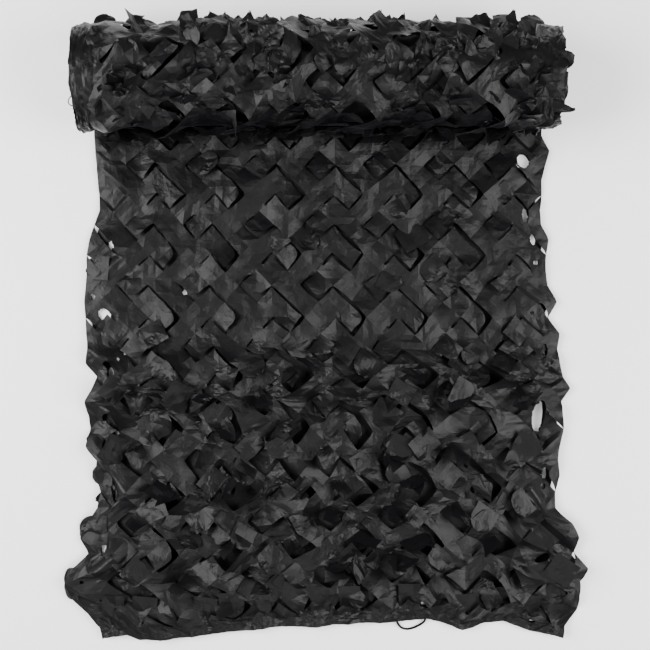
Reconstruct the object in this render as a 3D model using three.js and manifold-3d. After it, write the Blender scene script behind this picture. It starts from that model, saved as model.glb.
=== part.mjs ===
import * as THREE from "three";
import { mergeVertices } from "three/addons/utils/BufferGeometryUtils.js";
import Module from "manifold-3d";

// A camouflage net of thin black cloth, cut all over into leaves. Most of it is wound into a roll, and its
// loose end lies on the floor in front. X runs across the net, Y along it towards the roll, Z up from the
// floor, in millimetres.

// The leaf cut. The cloth is a diamond grid: a leaf is one diamond, and a grid point is named by its step
// along the cloth (0 where the loose end leaves the roll, growing towards the hem) and its step across it
// (0 on the centre line). A point exists where both steps are even or both are odd.
const LEAF_HALF_DIAGONAL = 46.9;
const LEAF_SIDE = LEAF_HALF_DIAGONAL * Math.SQRT2;
const STEPS_ALONG = 36;
const SIDE_STEP = 15;
const REPEAT = 4; // steps after which the cut comes again, both ways

// The loose end
const SEAM_Y = 728; // where it leaves the roll
const HEM_LINE_Y = -875; // where the leaf cut ends and the uncut hem begins, at the hem's corners
const HEM_EDGE_Y = -908;
const CLOTH = 2.6; // thickness of a leaf
const LOOSE_LAYER = 3.2; // least depth of the cloth where it lies pressed on the floor
const SWELL = { height: 4, along: 0.55, skew: 0.3, across: 0.37 }; // its broad unevenness, in waves per step
const SLIT_STEP = { least: 0.8, more: 0.9 }; // shares of a slit point's step in SLIT
const FLAT_BY_ROLL = 5; // steps over which the cloth comes up to its full unevenness
const DRAWN_UP_FROM = 22; // the step from which the hem's rise draws the cloth up
const HEM_PUCKER = 1.5;
const GATHER = { step: 20, pull: 14, reach: 3 }; // the leaves are pushed together across this line
const ZONES = [
  { share: 0.3, from: -1, to: 0 },
  { share: 0.22, from: 3, to: 7 },
  { share: 0.48, from: 15, to: 21 },
]; // shares of a tongue's full lift, each gained over these steps
const LOOSE_TONGUE = { length: 0.94, longer: 0.16, lift: 17, higher: 29, power: 1.4, twist: 0.7 };
const ROLL_TONGUE = { length: 0.84, longer: 0.2, lift: 7, higher: 20, power: 1.6, twist: 0.6 };
const SQUARE_TIPS = 0.5; // share of the tongues
const POINTED_TIPS = 0.14;
const CURL = 1.25; // power of the way along a leaf by which it rises
const GAP_CLEAR = 0.6; // leaf sides between a gap and the middle of the nearest tongue
const ROOT_LAP = -0.06; // how far a leaf's plate starts behind its root line, as a share of its length
const ROOT_SINK = 0.4;
const ROOT_INSET = 0.03; // how far the plate stays in from the ends of its root line, as a share of it

// The roll
const ROLL_RADIUS = 148;
const FLAT_SPOT = 2.5; // how far the roll is pressed flat where it rests
const ROLL_CENTRE = ROLL_RADIUS - FLAT_SPOT;
const TURN_PITCH = 12; // a turn of leaves, pressed
const ROLL_LEFT = -652;
const ROLL_RIGHT = 634;
const LEFT_TURNS_OUT = 54; // how far the inner turns stand out past the outer one at the left end
const LEFT_RIDGES_OUT = 2.4; // ridges over which they come to stand out that far
const STEPS_AROUND = 20; // leaf steps in one turn
const FACES_AROUND = 40;
const FACES_ACROSS = 24;
const RIDGES_SHOWN = 9; // ridges and grooves of the turns at each end, from the outside in
const GROOVE_DEPTH = 12;
const END_UNEVEN = { left: 5, right: 17 };
const TURN_WAVE = { around: 2, shift: 1.7, ripple: 0.6, ripplesAround: 5 }; // of the turns' edges
// Soft unevenness of the wound surface: lengths across the roll, and turns of phase round it
const LUMP = {
  height: 5,
  long: 61,
  middle: 97,
  short: 29,
  skew: 2.3,
  around: 3,
  shortAround: 5,
  shortShare: 0.5,
};
const SMOOTH_SEAM = { from: 0.3, to: 0.9 }; // radians from the seam over which the lumps fade out

const HEM_CORD = 6.5; // diameter of the tie cord at the hem
const END_CORD = 3; // diameter of the tie cord at the roll's left end
const CORD_SIDES = 8;
const FIT_GAP = 0.4; // between pieces that touch

// How far the loose end reaches to each side of the centre line, at every second step from the roll to the
// hem, and at the step after it. Its rim is ragged, because the side cuts run through leaves.
const RIM = [
  { left: 694, right: 644, leftNext: 694, rightNext: 644 },
  { left: 694, right: 643, leftNext: 694, rightNext: 641 },
  { left: 691, right: 668, leftNext: 687, rightNext: 654 },
  { left: 684, right: 642, leftNext: 680, rightNext: 643 },
  { left: 678, right: 636, leftNext: 695, rightNext: 640 },
  { left: 708, right: 663, leftNext: 716, rightNext: 655 },
  { left: 715, right: 654, leftNext: 719, rightNext: 661 },
  { left: 722, right: 688, leftNext: 719, rightNext: 660 },
  { left: 716, right: 695, leftNext: 711, rightNext: 688 },
  { left: 718, right: 692, leftNext: 686, rightNext: 705 },
  { left: 702, right: 730, leftNext: 722, rightNext: 702 },
  { left: 706, right: 703, leftNext: 707, rightNext: 708 },
  { left: 717, right: 698, leftNext: 682, rightNext: 689 },
  { left: 688, right: 694, leftNext: 672, rightNext: 683 },
  { left: 683, right: 685, leftNext: 714, rightNext: 729 },
  { left: 736, right: 746, leftNext: 709, rightNext: 736 },
  { left: 760, right: 780, leftNext: 780, rightNext: 756 },
  { left: 759, right: 747, leftNext: 711, rightNext: 751 },
  { left: 676, right: 708 },
];

// How far the hem is drawn up from the line between its two corners.
const HEM = [
  { across: -680, rise: 0 },
  { across: -592, rise: 15 },
  { across: -555, rise: 0 },
  { across: -480, rise: 0 },
  { across: -370, rise: 12 },
  { across: -244, rise: 27 },
  { across: -134, rise: 39 },
  { across: -16, rise: 39 },
  { across: 52, rise: 48 },
  { across: 200, rise: 51 },
  { across: 300, rise: 60 },
  { across: 356, rise: 46 },
  { across: 406, rise: 27 },
  { across: 466, rise: 48 },
  { across: 526, rise: 54 },
  { across: 608, rise: 24 },
  { across: 704, rise: 6 },
];

// Gaps near the side edges where the cuts stand open right through the cloth. Turn is in degrees,
// anticlockwise from a gap whose height runs along the net.
const GAP_SIDES = 6;
const GAPS = [
  { across: 586, along: 517, width: 36, height: 42, turn: 20 },
  { across: 592, along: 355, width: 18, height: 45, turn: 8 },
  { across: 616, along: 283, width: 12, height: 36, turn: 12 },
  { across: 626, along: 214, width: 14, height: 14, turn: 0 },
  { across: 614, along: 64, width: 12, height: 9, turn: 0 },
  { across: 590, along: 19, width: 12, height: 9, turn: 0 },
  { across: 647, along: -50, width: 16, height: 44, turn: -8 },
  { across: 632, along: -96, width: 16, height: 44, turn: -28 },
  { across: 630, along: -242, width: 32, height: 98, turn: -6 },
  { across: 648, along: -412, width: 18, height: 40, turn: 8 },
  { across: 645, along: -452, width: 12, height: 18, turn: 0 },
  { across: 610, along: -853, width: 18, height: 9, turn: 0 },
  { across: 291, along: -806, width: 10, height: 9, turn: 0 },
  { across: -645, along: 268, width: 12, height: 24, turn: -10 },
  { across: -698, along: 112, width: 9, height: 18, turn: 0 },
  { across: -664, along: 58, width: 34, height: 40, turn: 45 },
  { across: -424, along: 124, width: 12, height: 18, turn: 0 },
  { across: -644, along: -119, width: 14, height: 42, turn: 6 },
  { across: -621, along: -74, width: 12, height: 12, turn: 0 },
  { across: -602, along: -58, width: 9, height: 9, turn: 0 },
  { across: -666, along: -263, width: 9, height: 10, turn: 0 },
  { across: -628, along: -296, width: 10, height: 10, turn: 0 },
  { across: -628, along: -479, width: 9, height: 39, turn: 0 },
  { across: -667, along: -644, width: 12, height: 36, turn: -6 },
  { across: -728, along: -737, width: 10, height: 9, turn: 0 },
  { across: -667, along: -790, width: 10, height: 9, turn: 0 },
];

const BACK_LEAF = { length: 58, pointed: 48 };
const END_LEAF = { halfWidth: 0.4, rootIn: 1.5, lift: 6, twist: 0.3 };

// Leaves that stand out past the roll at its back, and past its right end. Angle is round the roll, in
// degrees from its bottom through its back.
const BACK_ANGLE = 112;
const BACK_LEAVES = [
  { across: -622, reach: 26, width: 62, tip: "round" },
  { across: -407, reach: 36, width: 46, tip: "point" },
  { across: -287, reach: 24, width: 66, tip: "point" },
  { across: -160, reach: 17, width: 60, tip: "round" },
  { across: -48, reach: 15, width: 70, tip: "square" },
  { across: 130, reach: 26, width: 50, tip: "point" },
  { across: 308, reach: 20, width: 44, tip: "point" },
  { across: 393, reach: 17, width: 60, tip: "square" },
  { across: 502, reach: 22, width: 72, tip: "square" },
  { across: 577, reach: 20, width: 66, tip: "round" },
];
const END_LEAVES = [
  { angle: 153, reach: 12, tip: "square" },
  { angle: 174, reach: 32, tip: "round" },
  { angle: 197, reach: 16, tip: "square" },
  { angle: 228, reach: 33, tip: "point" },
  { angle: 246, reach: 14, tip: "square" },
];

// The tie cord at the hem: off the cloth, in a loop on the floor, and back onto the cloth.
const HEM_TIE = [
  { x: 207, y: -840, z: 9.5 },
  { x: 209, y: -850, z: 9.2 },
  { x: 212.5, y: -863, z: 7 },
  { x: 219, y: -873.5, z: 4.3 },
  { x: 229, y: -880.5, z: 3.7 },
  { x: 243, y: -882.5, z: 3.7 },
  { x: 257, y: -879.5, z: 3.7 },
  { x: 271, y: -874, z: 3.7 },
  { x: 284, y: -866.5, z: 4.5 },
  { x: 292.5, y: -858, z: 7 },
  { x: 297, y: -847, z: 9.2 },
  { x: 301, y: -836, z: 9.5 },
];

// The thin tie cord at the roll's left end: a small loop that stands out from the turns.
const END_TIE = [
  { x: -692.2, y: 670, z: 206 },
  { x: -700, y: 669, z: 206.4 },
  { x: -710, y: 664, z: 206 },
  { x: -717, y: 656, z: 204 },
  { x: -719, y: 648, z: 201.5 },
  { x: -714, y: 641, z: 198.8 },
  { x: -704.2, y: 637.6, z: 197 },
];

// The slits. Each runs down-left for a leaf, down-right, back up, down-right for two leaves, and the same
// again turned by half, so it frees two tongues. The table says, for a grid point of the repeat, which of
// the four leaves round it (N, E, S, W of it) stand on the slit's raised side, and by how much.
const SLIT = {
  "1,3": { raised: "E", step: 1 },
  "2,0": { raised: "N", step: 1 },
  "1,1": { raised: "WNE", step: 8 },
  "2,2": { raised: "NE", step: 6 },
  "3,3": { raised: "NES", step: 7 },
  "0,2": { raised: "EWS", step: 6 },
  "3,1": { raised: "S", step: 8 },
};
const UNCUT_POINT = { raised: "", step: 0 };

// The tips a leaf can have: points across it (0 to 1) and along it (1 is its full length).
const TIPS = {
  square: [
    [0, 1],
    [1, 1],
  ],
  round: [
    [0, 0.72],
    [0.14, 0.94],
    [0.4, 1.04],
    [1, 1],
  ],
  point: [
    [0, 0.74],
    [0.38, 1.25],
    [1, 0.72],
  ],
};

const wasm = await Module();
wasm.setup();

// A number from 0 to 1 that is always the same for the same three numbers.
function chance(a, b, c) {
  const wave = Math.sin(a * 12.9898 + b * 78.233 + c * 37.719) * 43758.5453;
  return wave - Math.floor(wave);
}

function modulo(value, period) {
  return ((value % period) + period) % period;
}

function slitAt(along, across) {
  return SLIT[`${modulo(along, REPEAT)},${modulo(across, REPEAT)}`] ?? UNCUT_POINT;
}

function smoothstep(low, high, value) {
  const t = Math.min(1, Math.max(0, (value - low) / (high - low)));
  return t * t * (3 - 2 * t);
}

// How far the hem is drawn up at a place across the net.
function hemRise(x) {
  const found = HEM.findIndex((row) => row.across >= x);
  if (found === 0) return HEM[0].rise;
  if (found < 0) return HEM.at(-1).rise;
  const [p, q] = [HEM[found - 1], HEM[found]];
  return THREE.MathUtils.mapLinear(x, p.across, q.across, p.rise, q.rise);
}

// A closed surface of polygons whose corners are shared by name.
class Surface {
  constructor() {
    this.points = [];
    this.numbers = new Map();
    this.triangles = [];
  }

  corner(name, x, y, z) {
    if (!this.numbers.has(name)) {
      this.numbers.set(name, this.points.length);
      this.points.push(new THREE.Vector3(x, y, z));
    }
    return this.numbers.get(name);
  }

  // A fan over a polygon whose corners run anticlockwise as seen from outside.
  polygon(corners) {
    const kept = corners.filter((c, i) => c !== corners[(i + 1) % corners.length]);
    for (let i = 1; i + 1 < kept.length; i++) this.triangles.push(kept[0], kept[i], kept[i + 1]);
  }

  geometry() {
    const g = new THREE.BufferGeometry().setFromPoints(this.points);
    g.setIndex(this.triangles);
    return g;
  }
}

function solid(geometry) {
  const bare = geometry.clone();
  bare.deleteAttribute("normal");
  bare.deleteAttribute("uv");
  const merged = mergeVertices(bare, 1e-3);
  return new wasm.Manifold(
    new wasm.Mesh({
      numProp: 3,
      vertProperties: new Float32Array(merged.attributes.position.array),
      triVerts: new Uint32Array(merged.index.array),
    }),
  );
}

function meshOf(name, manifold, material) {
  const made = manifold.getMesh();
  const g = new THREE.BufferGeometry();
  g.setAttribute("position", new THREE.BufferAttribute(new Float32Array(made.vertProperties), 3));
  g.setIndex(new THREE.BufferAttribute(new Uint32Array(made.triVerts), 1));
  g.computeVertexNormals();
  const mesh = new THREE.Mesh(g, new THREE.MeshStandardMaterial(material));
  mesh.name = name;
  return mesh;
}

// A leaf: a thin plate that rises from its root line in two bends. Root is its two end points, left and
// right as seen along its length; away is the way it points, and up is the way that it lifts.
function leaf({ root, away, up, length, lift, twist, tip, mirrored }) {
  const start = root[0].clone().lerp(root[1], ROOT_INSET);
  const across = root[1].clone().lerp(root[0], ROOT_INSET).sub(start);
  const tipPoints = mirrored ? TIPS[tip].map(([a, b]) => [1 - a, b]).reverse() : TIPS[tip];
  const outline = [[0, ROOT_LAP], [0, 0.5], ...tipPoints, [1, 0.5], [1, ROOT_LAP]];
  const last = outline.length - 1;
  const surface = new Surface();
  const point = (i, depth) => {
    const [a, b] = outline[i];
    const rise = lift * Math.max(0, b) ** CURL * (1 + twist * (2 * a - 1));
    const run = length * b * (1 - 0.5 * (lift / length) ** 2);
    const p = start.clone().addScaledVector(across, a).addScaledVector(away, run);
    p.addScaledVector(up, rise + depth);
    return surface.corner(`${i} ${depth}`, p.x, p.y, p.z);
  };
  const top = outline.map((_, i) => point(i, CLOTH / 2));
  const under = outline.map((_, i) => point(i, -CLOTH / 2));
  const tipPart = outline.map((_, i) => i).slice(1, last);
  for (const part of [[0, 1, last - 1, last], tipPart]) {
    surface.polygon(part.map((i) => top[i]).reverse());
    surface.polygon(part.map((i) => under[i]));
  }
  outline.forEach((_, i) => {
    const next = (i + 1) % outline.length;
    surface.polygon([top[i], top[next], under[next], under[i]]);
  });
  return solid(surface.geometry());
}

// How far the loose end reaches at a step, with the rim's ragged points and without them.
function rimReach(side, along) {
  const row = RIM[along >> 1];
  return along % 2 ? row[`${side}Next`] : row[side];
}

function smoothReach(side, along) {
  const near = [-2, -1, 0, 1, 2].map((k) => Math.min(STEPS_ALONG, Math.max(0, along + k)));
  return near.reduce((sum, step) => sum + rimReach(side, step), 0) / near.length;
}

function looseX(along, across) {
  if (across === -SIDE_STEP) return -rimReach("left", along);
  if (across === SIDE_STEP) return rimReach("right", along);
  const share = (across + SIDE_STEP) / (2 * SIDE_STEP);
  return THREE.MathUtils.lerp(-smoothReach("left", along), smoothReach("right", along), share);
}

function looseY(along, across) {
  const t = (along - GATHER.step) / GATHER.reach;
  const pull = GATHER.pull * t * Math.exp(0.5 - 0.5 * t * t);
  const rise = hemRise(looseX(along, across)) * smoothstep(DRAWN_UP_FROM, STEPS_ALONG, along);
  const even = THREE.MathUtils.lerp(SEAM_Y - FIT_GAP, HEM_LINE_Y, along / STEPS_ALONG);
  return even + pull + rise;
}

// Height of the cloth's top at a grid point, on the raised or the low side of its slit.
function looseZ(along, across, raised) {
  const wave = Math.sin(SWELL.along * along + SWELL.skew * across) * Math.cos(SWELL.across * across);
  const share = SLIT_STEP.least + SLIT_STEP.more * chance(along, across, 1);
  const step = raised ? slitAt(along, across).step * share : 0;
  return LOOSE_LAYER + smoothstep(0, FLAT_BY_ROLL, along) * (SWELL.height * (0.5 + 0.5 * wave) + step);
}

function onLooseRim(along, across) {
  return along === 0 || along === STEPS_ALONG || Math.abs(across) === SIDE_STEP;
}

// One leaf's corners, N, W, S and E of its middle. From says which side of the corner the leaf is on.
function leafCorners(along, across) {
  return [
    { from: "S", along, across },
    { from: "E", along: along + 1, across: across - 1 },
    { from: "N", along: along + 2, across },
    { from: "W", along: along + 1, across: across + 1 },
  ];
}

function isRaised(corner) {
  const { from, along, across } = corner;
  return !onLooseRim(along, across) && slitAt(along, across).raised.includes(from);
}

// The leaf-cut cloth of the loose end, as one slab that is flat below, with a step at every slit.
function looseCloth() {
  const surface = new Surface();
  const edges = new Map();
  const corner = (c) => {
    const raised = isRaised(c);
    const [x, y] = [looseX(c.along, c.across), looseY(c.along, c.across)];
    return surface.corner(`${c.along},${c.across},${raised}`, x, y, looseZ(c.along, c.across, raised));
  };
  const hemCorner = (across) => {
    const x = looseX(STEPS_ALONG, across);
    const z = LOOSE_LAYER + HEM_PUCKER * chance(across, 5, 5);
    return surface.corner(`hem,${across}`, x, HEM_EDGE_Y + hemRise(x), z);
  };
  const floorCorner = (top) => {
    const p = surface.points[top];
    return surface.corner(`floor under ${top}`, p.x, p.y, 0);
  };
  // A polygon of the cloth's top. Its edges are kept by the grid points they run between, so that the two
  // sides of a slit are found.
  const patch = (parts) => {
    surface.polygon(parts.map((part) => part.corner));
    parts.forEach((part, i) => {
      const next = parts[(i + 1) % parts.length];
      const key = [part.at, next.at].sort().join(" to ");
      edges.set(key, [...(edges.get(key) ?? []), [part.corner, next.corner]]);
    });
  };
  const gridPart = (c) => ({ at: `${c.along},${c.across}`, corner: corner(c) });
  const hemPart = (across) => ({ at: `hem,${across}`, corner: hemCorner(across) });

  for (let along = -1; along < STEPS_ALONG; along++)
    for (let across = -SIDE_STEP; across <= SIDE_STEP; across++) {
      if (modulo(along + across, 2)) continue;
      const cut = leafCorners(along, across)
        .map((c) => (Math.abs(c.across) > SIDE_STEP ? { from: "", along: along + 1, across } : c))
        .filter((c) => c.along >= 0 && c.along <= STEPS_ALONG);
      const atRim = Math.abs(across) === SIDE_STEP;
      const turn = cut.length === 4 && (atRim || chance(along, across, 4) < 0.5) ? 1 : 0;
      patch([...cut.slice(turn), ...cut.slice(0, turn)].map(gridPart));
    }
  // The uncut hem, from each grid point of the last row to the next.
  const lastRow = [];
  for (let across = -SIDE_STEP; across <= SIDE_STEP; across++) {
    if (modulo(across, 2) === 0 || Math.abs(across) === SIDE_STEP) lastRow.push(across);
  }
  lastRow.slice(1).forEach((q, i) => {
    const p = lastRow[i];
    const between = Array.from({ length: q - p + 1 }, (_, k) => hemPart(p + k));
    const upper = (across) => gridPart({ from: "", along: STEPS_ALONG, across });
    patch([upper(p), ...between, upper(q)]);
  });
  // The step down at each slit, the cloth's outer edge, and its underside.
  const after = new Map();
  for (const [[a, b], other] of edges.values()) {
    if (other) {
      surface.polygon([b, a, other[1], other[0]]);
    } else {
      surface.polygon([b, a, floorCorner(a), floorCorner(b)]);
      after.set(floorCorner(a), floorCorner(b));
    }
  }
  const rim = [after.keys().next().value];
  while (after.get(rim.at(-1)) !== rim[0]) rim.push(after.get(rim.at(-1)));
  const contour = rim.map((i) => new THREE.Vector2(surface.points[i].x, surface.points[i].y));
  for (const [a, b, c] of THREE.ShapeUtils.triangulateShape(contour, [])) {
    surface.polygon([rim[a], rim[c], rim[b]]);
  }
  return solid(surface.geometry());
}

// The two tongues that a slit frees: each leaf's kind, its root's two corners (left and right as seen along
// it) and the way it points across the net.
function tongueAt(along, across) {
  if (modulo(along, REPEAT) === 0 && modulo(across, REPEAT) === 0) return { left: 3, right: 0, way: -1 };
  if (modulo(along, REPEAT) === 2 && modulo(across, REPEAT) === 2) return { left: 0, right: 1, way: 1 };
  return null;
}

function tongueTip(along, across) {
  const pick = chance(along, across, 3);
  if (pick < SQUARE_TIPS) return "square";
  return pick < 1 - POINTED_TIPS ? "round" : "point";
}

function liftOf(kind, along, across) {
  return kind.lift + kind.higher * chance(along, across, 2) ** kind.power;
}

function lengthOf(kind, along, across) {
  return LEAF_SIDE * (kind.length + kind.longer * chance(along, across, 6));
}

function twistOf(kind, along, across) {
  return kind.twist * (chance(along, across, 7) - 0.5);
}

// The lift of a tongue's tip: low by the roll and in the flat middle, high towards the hem.
function looseLift(along, across) {
  const zone = ZONES.reduce((sum, { share, from, to }) => sum + share * smoothstep(from, to, along), 0);
  return zone * liftOf(LOOSE_TONGUE, along, across);
}

function nearGap(x, y) {
  const clear = (gap) => GAP_CLEAR * LEAF_SIDE + gap.width / 2;
  return GAPS.some((gap) => Math.hypot(gap.across - x, gap.along - y) < clear(gap));
}

function looseTongues() {
  const made = [];
  for (let along = 3; along + 2 <= STEPS_ALONG; along++)
    for (let across = 2 - SIDE_STEP; across <= SIDE_STEP - 2; across++) {
      const tongue = tongueAt(along, across);
      if (!tongue || nearGap(looseX(along + 1, across), looseY(along + 1, across))) continue;
      const corners = leafCorners(along, across);
      const root = [tongue.left, tongue.right].map((i) => {
        const c = corners[i];
        const z = looseZ(c.along, c.across, isRaised(c)) - CLOTH / 2 - ROOT_SINK;
        return new THREE.Vector3(looseX(c.along, c.across), looseY(c.along, c.across), z);
      });
      made.push(
        leaf({
          root,
          away: new THREE.Vector3(tongue.way, -1, 0).normalize(),
          up: new THREE.Vector3(0, 0, 1),
          length: lengthOf(LOOSE_TONGUE, along, across),
          lift: looseLift(along, across),
          twist: twistOf(LOOSE_TONGUE, along, across),
          tip: tongueTip(along, across),
          mirrored: tongue.way < 0,
        }),
      );
    }
  return made;
}

function throughGap({ across, along, width, height, turn }) {
  const g = new THREE.CylinderGeometry(0.5, 0.5, 2 * LEAF_SIDE, GAP_SIDES);
  g.rotateX(Math.PI / 2);
  g.scale(width, height, 1);
  g.rotateZ(THREE.MathUtils.degToRad(turn));
  g.translate(across, along, 0);
  return solid(g);
}

function netSheet() {
  const cloth = GAPS.reduce((rest, gap) => rest.subtract(throughGap(gap)), looseCloth());
  return looseTongues().reduce((all, tongue) => all.add(tongue), cloth);
}

// A point on the roll, by its angle from the bottom round through the back, its place across, and its
// distance from the wound surface. One turn runs in from the seam at the bottom by one pitch.
function onRoll(angle, x, out) {
  const r = ROLL_RADIUS - (TURN_PITCH * angle) / (2 * Math.PI) + out;
  return new THREE.Vector3(x, SEAM_Y + r * Math.sin(angle), Math.max(0, ROLL_CENTRE - r * Math.cos(angle)));
}

function rollAngle(face) {
  return (2 * Math.PI * face) / FACES_AROUND;
}

// Soft lumps of the leaves wound under the surface, none where the roll rests or meets the loose end.
function rollLump(angle, x) {
  const { from, to } = SMOOTH_SEAM;
  const clear = smoothstep(from, to, angle) * smoothstep(from, to, 2 * Math.PI - angle);
  const wave = Math.sin(x / LUMP.long + LUMP.skew * angle) * Math.cos(LUMP.around * angle - x / LUMP.middle);
  const ripple = LUMP.shortShare * Math.sin(x / LUMP.short + LUMP.shortAround * angle);
  return clear * LUMP.height * (wave + ripple);
}

// Where a ridge of a turn's edge stands at one end of the roll. Every second one is a groove.
function rollEnd(side, face, ridge) {
  const angle = rollAngle(face);
  const broad = Math.sin(TURN_WAVE.around * angle + TURN_WAVE.shift * ridge + side);
  const wave = broad + TURN_WAVE.ripple * Math.sin(TURN_WAVE.ripplesAround * angle - ridge);
  const groove = ridge % 2 ? GROOVE_DEPTH : 0;
  if (side < 0) {
    const out = LEFT_TURNS_OUT * smoothstep(0, LEFT_RIDGES_OUT, ridge);
    return ROLL_LEFT - out - END_UNEVEN.left * wave + groove;
  }
  return ROLL_RIGHT + END_UNEVEN.right * wave * (1 - ridge / (2 * RIDGES_SHOWN)) - groove;
}

function rollBody() {
  const surface = new Surface();
  // The wound surface. Its first and last rows are the two sides of the step at the seam.
  const skin = (i, j) => {
    const x = THREE.MathUtils.lerp(rollEnd(-1, i, 0), rollEnd(1, i, 0), j / FACES_ACROSS);
    const p = onRoll(rollAngle(i), x, rollLump(rollAngle(i), x));
    return surface.corner(`skin ${i} ${j}`, p.x, p.y, p.z);
  };
  for (let j = 0; j < FACES_ACROSS; j++) {
    for (let i = 0; i < FACES_AROUND; i++) {
      surface.polygon([skin(i, j), skin(i + 1, j), skin(i + 1, j + 1), skin(i, j + 1)]);
    }
    surface.polygon([skin(0, j), skin(0, j + 1), skin(FACES_AROUND, j + 1), skin(FACES_AROUND, j)]);
  }
  // The ends: ridges and grooves that follow the winding inwards half a pitch apart, so that after one turn
  // each goes on as the next but one, and a flat core.
  for (const side of [-1, 1]) {
    const j = side < 0 ? 0 : FACES_ACROSS;
    const ring = (i, ridge) => {
      if (ridge === 0) return skin(i, j);
      if (i === FACES_AROUND) return ring(0, ridge + 2);
      if (i === 0 && ridge === 2) return skin(FACES_AROUND, j);
      const p = onRoll(rollAngle(i), rollEnd(side, i, ridge), (-TURN_PITCH / 2) * ridge);
      return surface.corner(`end ${side} ${i} ${ridge}`, p.x, p.y, p.z);
    };
    const face = (corners) => surface.polygon(side > 0 ? corners : corners.reverse());
    const coreX = side < 0 ? ROLL_LEFT - LEFT_TURNS_OUT : ROLL_RIGHT;
    const core = surface.corner(`core ${side}`, coreX, SEAM_Y, ROLL_CENTRE);
    const lastFace = FACES_AROUND - 1;
    const exists = (i, ridge) => ridge <= RIDGES_SHOWN - (i === FACES_AROUND ? 2 : 0);
    for (let i = 0; i < FACES_AROUND; i++) {
      for (let ridge = 0; ridge < RIDGES_SHOWN; ridge++) {
        const around = [
          [i, ridge],
          [i + 1, ridge],
          [i + 1, ridge + 1],
          [i, ridge + 1],
        ];
        face(around.filter(([a, b]) => exists(a, b)).map(([a, b]) => ring(a, b)));
      }
      if (i < lastFace) face([ring(i, RIDGES_SHOWN), ring(i + 1, RIDGES_SHOWN), core]);
    }
    face([ring(lastFace, RIDGES_SHOWN - 1), ring(0, RIDGES_SHOWN), ring(lastFace, RIDGES_SHOWN)]);
    face([ring(lastFace, RIDGES_SHOWN), ring(0, RIDGES_SHOWN), core]);
    face([ring(0, 0), ring(0, 1), skin(FACES_AROUND, j)]);
  }
  return solid(surface.geometry());
}

// Across place of a grid point that is wound on the roll.
function rollX(across) {
  return THREE.MathUtils.mapLinear(across, -SIDE_STEP, SIDE_STEP, ROLL_LEFT, ROLL_RIGHT);
}

function rollTongues() {
  const made = [];
  for (let along = 3 - STEPS_AROUND; along < -2; along++)
    for (let across = 2 - SIDE_STEP; across <= SIDE_STEP - 2; across++) {
      const tongue = tongueAt(along, across);
      if (!tongue) continue;
      const corners = leafCorners(along, across);
      const angleOf = (step) => (-2 * Math.PI * step) / STEPS_AROUND;
      const root = [tongue.right, tongue.left].map((i) => {
        const [angle, x] = [angleOf(corners[i].along), rollX(corners[i].across)];
        return onRoll(angle, x, rollLump(angle, x) - CLOTH / 2 - ROOT_SINK);
      });
      const middle = angleOf(along + 1);
      made.push(
        leaf({
          root,
          away: new THREE.Vector3(tongue.way, -Math.cos(middle), -Math.sin(middle)).normalize(),
          up: new THREE.Vector3(0, Math.sin(middle), -Math.cos(middle)),
          length: lengthOf(ROLL_TONGUE, along, across),
          lift: liftOf(ROLL_TONGUE, along, across),
          twist: twistOf(ROLL_TONGUE, along, across),
          tip: tongueTip(along, across),
          mirrored: tongue.way > 0,
        }),
      );
    }
  return made;
}

function backLeaves() {
  const angle = THREE.MathUtils.degToRad(BACK_ANGLE);
  return BACK_LEAVES.map(({ across, reach, width, tip }) => {
    const root = [across - width / 2, across + width / 2].map((x) => onRoll(angle, x, -CLOTH));
    const toTip = SEAM_Y + ROLL_RADIUS + reach - root[0].y;
    const length = tip === "point" ? BACK_LEAF.pointed : BACK_LEAF.length;
    return leaf({
      root,
      away: new THREE.Vector3(0, -Math.cos(angle), -Math.sin(angle)),
      up: new THREE.Vector3(0, Math.sin(angle), -Math.cos(angle)),
      length,
      lift: (toTip + length * Math.cos(angle)) / Math.sin(angle),
      twist: 0,
      tip,
      mirrored: false,
    });
  });
}

function endLeaves() {
  return END_LEAVES.map(({ angle, reach, tip }) => {
    const middle = THREE.MathUtils.degToRad(angle);
    const half = (END_LEAF.halfWidth * LEAF_SIDE) / ROLL_RADIUS;
    const rootX = ROLL_RIGHT - END_LEAF.rootIn * END_UNEVEN.right;
    return leaf({
      root: [middle - half, middle + half].map((a) => onRoll(a, rootX, -CLOTH)),
      away: new THREE.Vector3(1, 0, 0),
      up: new THREE.Vector3(0, Math.sin(middle), -Math.cos(middle)),
      length: ROLL_RIGHT + reach - rootX,
      lift: END_LEAF.lift,
      twist: END_LEAF.twist,
      tip,
      mirrored: false,
    });
  });
}

function netRoll() {
  const leaves = [...rollTongues(), ...backLeaves(), ...endLeaves()];
  return leaves.reduce((all, one) => all.add(one), rollBody());
}

function cord(route, diameter) {
  const path = new THREE.CatmullRomCurve3(route.map(({ x, y, z }) => new THREE.Vector3(x, y, z)));
  const round = Array.from({ length: CORD_SIDES }, (_, i) => {
    const angle = (2 * Math.PI * i) / CORD_SIDES;
    return new THREE.Vector2(0.5 * diameter * Math.cos(angle), 0.5 * diameter * Math.sin(angle));
  });
  const steps = Math.round(path.getLength() / (2 * diameter));
  const settings = { extrudePath: path, steps, bevelEnabled: false };
  return solid(new THREE.ExtrudeGeometry(new THREE.Shape(round), settings));
}

const BLACK_CLOTH = { color: 0x26262a, roughness: 0.5, metalness: 0 };
const BLACK_CORD = { color: 0x18181a, roughness: 0.8, metalness: 0 };

const net = new THREE.Group();
net.add(meshOf("net_sheet", netSheet(), BLACK_CLOTH));
net.add(meshOf("net_roll", netRoll(), BLACK_CLOTH));
net.add(meshOf("hem_tie_cord", cord(HEM_TIE, HEM_CORD), BLACK_CORD));
net.add(meshOf("roll_tie_cord", cord(END_TIE, END_CORD), BLACK_CORD));

export default net;
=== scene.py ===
import math
from collections import namedtuple

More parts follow.
